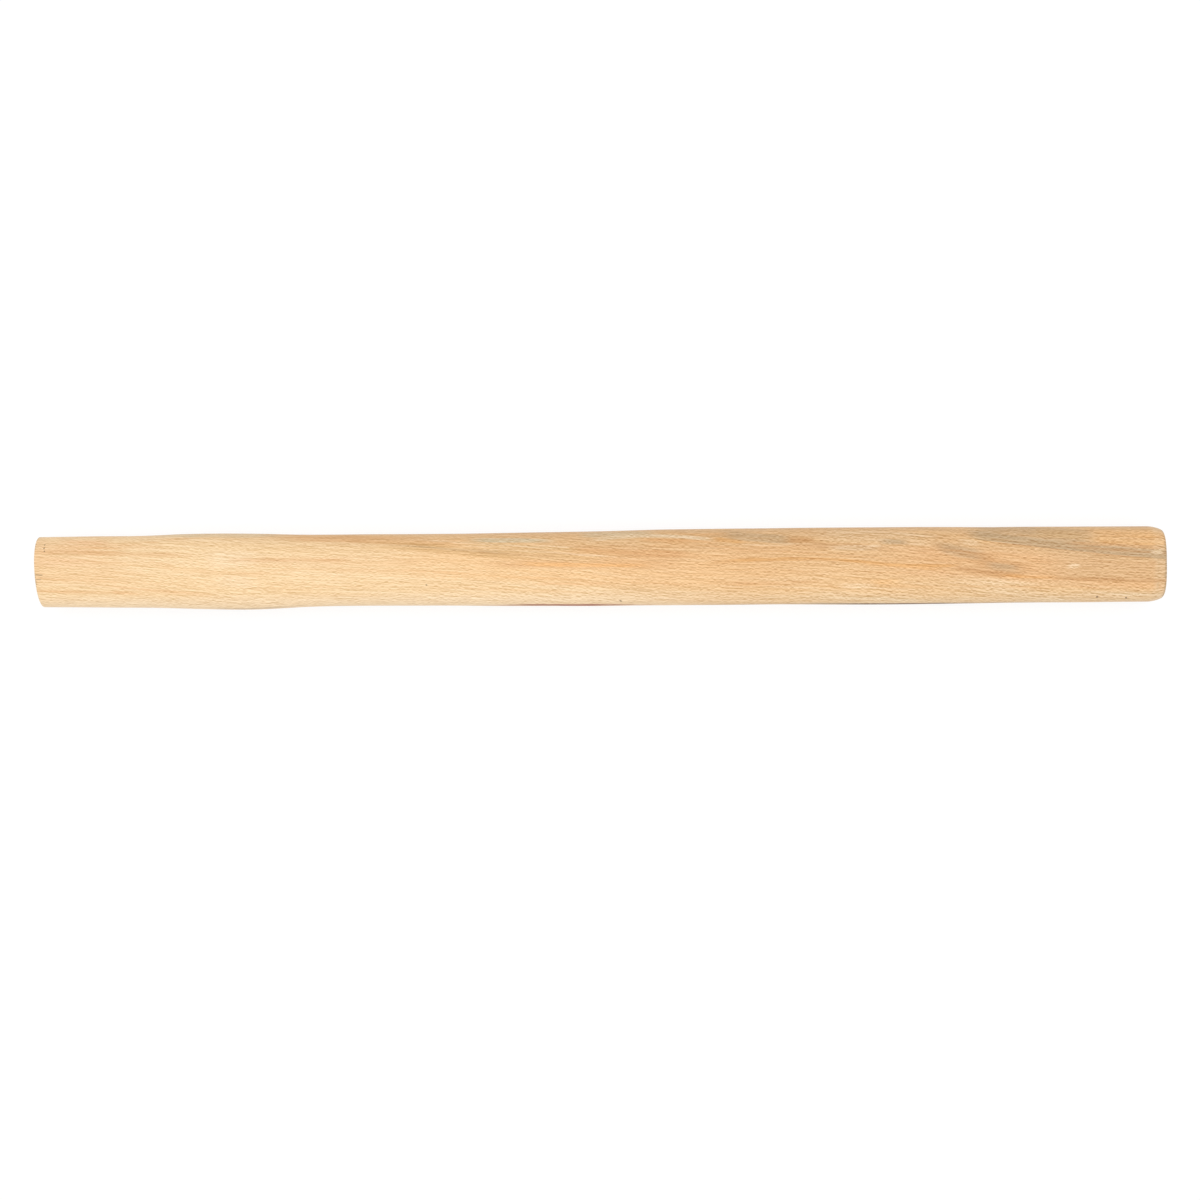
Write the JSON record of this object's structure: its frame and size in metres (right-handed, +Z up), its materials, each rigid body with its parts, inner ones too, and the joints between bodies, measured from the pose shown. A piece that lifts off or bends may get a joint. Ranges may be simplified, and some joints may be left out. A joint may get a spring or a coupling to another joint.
{
  "type": "hammer handle",
  "caption": "Straight wooden handle of oval section for a hammer or mallet: sawn tongue for the eye of a head, soft shoulder, slim waist and a fuller grip with a rounded butt.",
  "frame": {"origin": "where the handle's axis meets the sawn head-end face", "axes": "+X along the handle from the head end to the butt, +Y across its broad faces, +Z up through its thickness as it lies on a broad face"},
  "size_m": [0.4007, 0.0276, 0.021],
  "materials": {
    "beech": "bare, fine-sanded"
  },
  "bodies": {
    "root": {"handle": "beech"}
  },
  "joints": []
}
